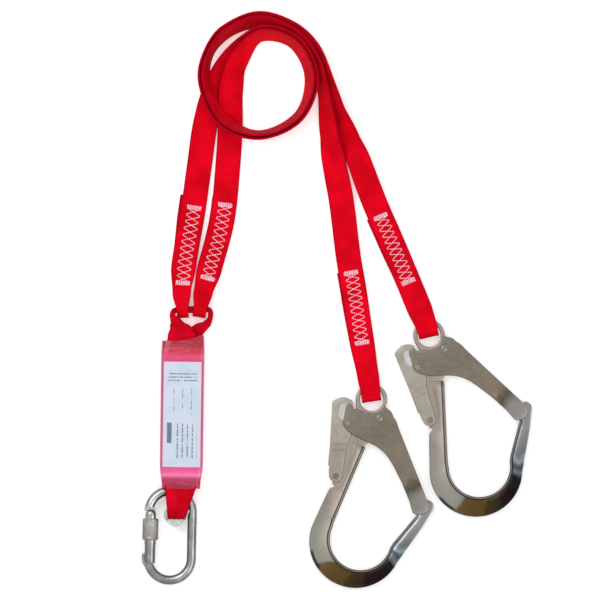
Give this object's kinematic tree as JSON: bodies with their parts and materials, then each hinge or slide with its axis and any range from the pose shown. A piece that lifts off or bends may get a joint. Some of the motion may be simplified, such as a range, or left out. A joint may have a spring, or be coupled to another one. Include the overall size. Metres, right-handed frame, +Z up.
{
  "type": "shock absorbing lanyard",
  "caption": "Y-shaped shock absorbing lanyard with a screw-gate karabiner, tear-webbing energy absorber, coiled webbing legs and scaffold hooks.",
  "frame": {"origin": "centre of the underside of the bounding box", "axes": "lying flat: +Z up out of the flat face, +Y from the karabiner towards the coil, +X from the absorber towards the hooks"},
  "size_m": [0.4222, 0.6234, 0.0387],
  "materials": {
    "red_webbing": "woven",
    "thread": "matte",
    "plated_steel": "satin",
    "zinc_steel": "polished",
    "spring_steel": "satin",
    "clear_plastic": "gloss",
    "white_plastic": "gloss",
    "label_film": "satin"
  },
  "bodies": {
    "legs": {"leg_1_webbing": "red_webbing", "leg_1_lower_stitching": "thread", "leg_1_hook_stitching": "thread", "leg_2_webbing": "red_webbing", "leg_2_lower_stitching": "thread", "leg_2_hook_stitching": "thread"},
    "absorber": {"absorber_cover": "clear_plastic", "absorber_tear_webbing": "red_webbing", "absorber_upper_loop": "red_webbing", "absorber_lower_loop": "red_webbing", "absorber_label": "label_film", "loop_guard": "white_plastic"},
    "karabiner": {"karabiner_body": "zinc_steel", "karabiner_hinge_pin": "zinc_steel"},
    "karabiner_gate": {"karabiner_gate": "zinc_steel", "karabiner_latch_pin": "zinc_steel", "karabiner_gate_spring": "spring_steel", "karabiner_plunger": "zinc_steel"},
    "karabiner_sleeve": {"karabiner_sleeve": "plated_steel"},
    "hook_1": {"hook_1_body": "plated_steel", "hook_1_gate_pivot": "plated_steel", "hook_1_lever_pivot": "plated_steel", "hook_1_gate_spring": "spring_steel", "hook_1_lever_spring": "spring_steel"},
    "hook_1_gate": {"hook_1_gate": "plated_steel", "hook_1_lock_pin": "plated_steel"},
    "hook_1_lever": {"hook_1_lever": "plated_steel"},
    "hook_2": {"hook_2_body": "plated_steel", "hook_2_gate_pivot": "plated_steel", "hook_2_lever_pivot": "plated_steel", "hook_2_gate_spring": "spring_steel", "hook_2_lever_spring": "spring_steel"},
    "hook_2_gate": {"hook_2_gate": "plated_steel", "hook_2_lock_pin": "plated_steel"},
    "hook_2_lever": {"hook_2_lever": "plated_steel"}
  },
  "joints": [
    {"name": "absorber_swing", "type": "hinge", "parent": "legs", "child": "absorber", "pos_m": [-0.15711, -0.01098, 0.00936], "axis": [-0.9994, -0.0349, 0], "range_deg": [0, 30]},
    {"name": "karabiner_swing", "type": "hinge", "parent": "absorber", "child": "karabiner", "pos_m": [-0.17969, -0.22989, 0.01186], "axis": [0, 0, 1], "range_deg": [0, 30]},
    {"name": "karabiner_gate_turn", "type": "hinge", "parent": "karabiner", "child": "karabiner_gate", "pos_m": [-0.20116, -0.23304, 0.01186], "axis": [0, 0, 1], "range_deg": [0, 25]},
    {"name": "sleeve_travel", "type": "slide", "parent": "karabiner_gate", "child": "karabiner_sleeve", "axis": [-0.0209, -0.9998, 0], "range_m": [0, 0.0105]},
    {"name": "hook_1_swing", "type": "hinge", "parent": "legs", "child": "hook_1", "pos_m": [0.03729, -0.10798, 0.00736], "axis": [0, 0, 1], "range_deg": [-15, 3]},
    {"name": "hook_1_gate_turn", "type": "hinge", "parent": "hook_1", "child": "hook_1_gate", "pos_m": [0.046, -0.12773, 0.00736], "axis": [0, 0, -1], "range_deg": [0, 25]},
    {"name": "hook_1_lever_turn", "type": "hinge", "parent": "hook_1", "child": "hook_1_lever", "pos_m": [-0.00122, -0.19094, 0.00736], "axis": [0, 0, -1], "range_deg": [0, 4.5]},
    {"name": "hook_2_swing", "type": "hinge", "parent": "legs", "child": "hook_2", "pos_m": [0.09939, -0.03868, 0.00736], "axis": [0, 0, 1], "range_deg": [-3, 15]},
    {"name": "hook_2_gate_turn", "type": "hinge", "parent": "hook_2", "child": "hook_2_gate", "pos_m": [0.11575, -0.05276, 0.00736], "axis": [0, 0, -1], "range_deg": [0, 25]},
    {"name": "hook_2_lever_turn", "type": "hinge", "parent": "hook_2", "child": "hook_2_lever", "pos_m": [0.10034, -0.13014, 0.00736], "axis": [0, 0, -1], "range_deg": [0, 4.5]}
  ],
  "couplings": [
    {"joint": "hook_1_lever_turn", "follows": "hook_1_gate_turn", "ratio": 0.18},
    {"joint": "hook_2_lever_turn", "follows": "hook_2_gate_turn", "ratio": 0.18}
  ]
}
